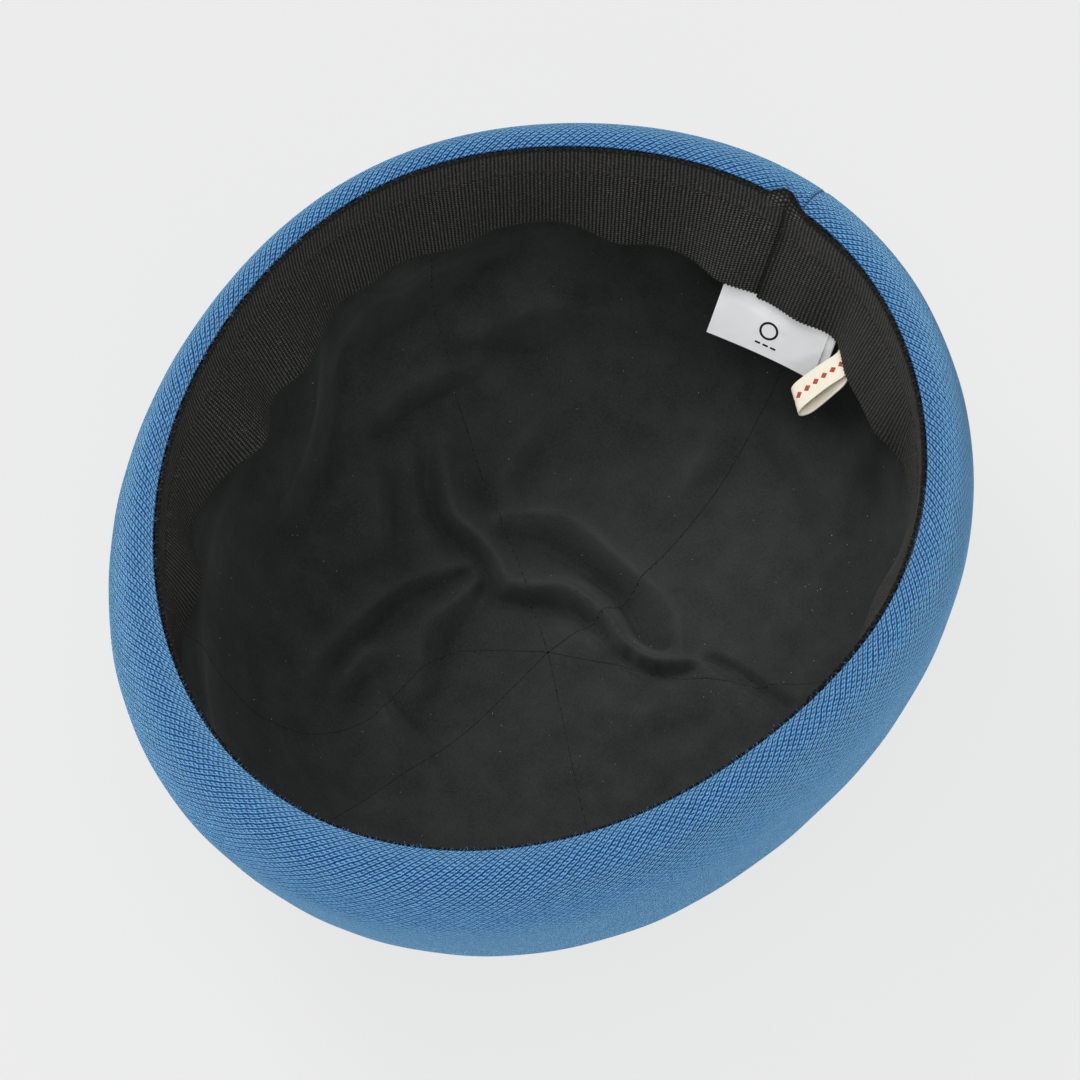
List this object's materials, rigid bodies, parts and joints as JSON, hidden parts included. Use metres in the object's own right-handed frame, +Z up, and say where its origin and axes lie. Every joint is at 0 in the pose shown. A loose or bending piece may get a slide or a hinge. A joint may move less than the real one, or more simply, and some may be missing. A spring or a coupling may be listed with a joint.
{
  "type": "docker cap",
  "caption": "Brimless cloth cap with a rolled, turned-up cuff, a panelled crown, a lining, a ribbed sweatband and two sewn-in labels.",
  "frame": {"origin": "on the floor under the middle of the cap's bounding box, the cap lying on its crown with the opening up", "axes": "+Z up to the head opening, +Y towards the seam at the back of the cap, +X towards the cap's right side seen from inside facing the back"},
  "size_m": [0.1928, 0.2249, 0.1069],
  "materials": {
    "blue_knit": "matt, fine diagonal knit",
    "black_ribbed_band": "matt, ribbed",
    "black_lining": "matt, plain weave",
    "white_satin": "soft satin",
    "cream_tape": "matt woven tape"
  },
  "bodies": {
    "root": {"cuff": "blue_knit", "crown_panel_1": "blue_knit", "crown_panel_2": "blue_knit", "crown_panel_3": "blue_knit", "crown_panel_4": "blue_knit", "crown_panel_5": "blue_knit", "crown_panel_6": "blue_knit", "lining_panel_1": "black_lining", "lining_panel_2": "black_lining", "lining_panel_3": "black_lining", "lining_panel_4": "black_lining", "lining_panel_5": "black_lining", "lining_panel_6": "black_lining", "sweatband": "black_ribbed_band", "care_label": "white_satin", "loop_label": "cream_tape"}
  },
  "joints": []
}
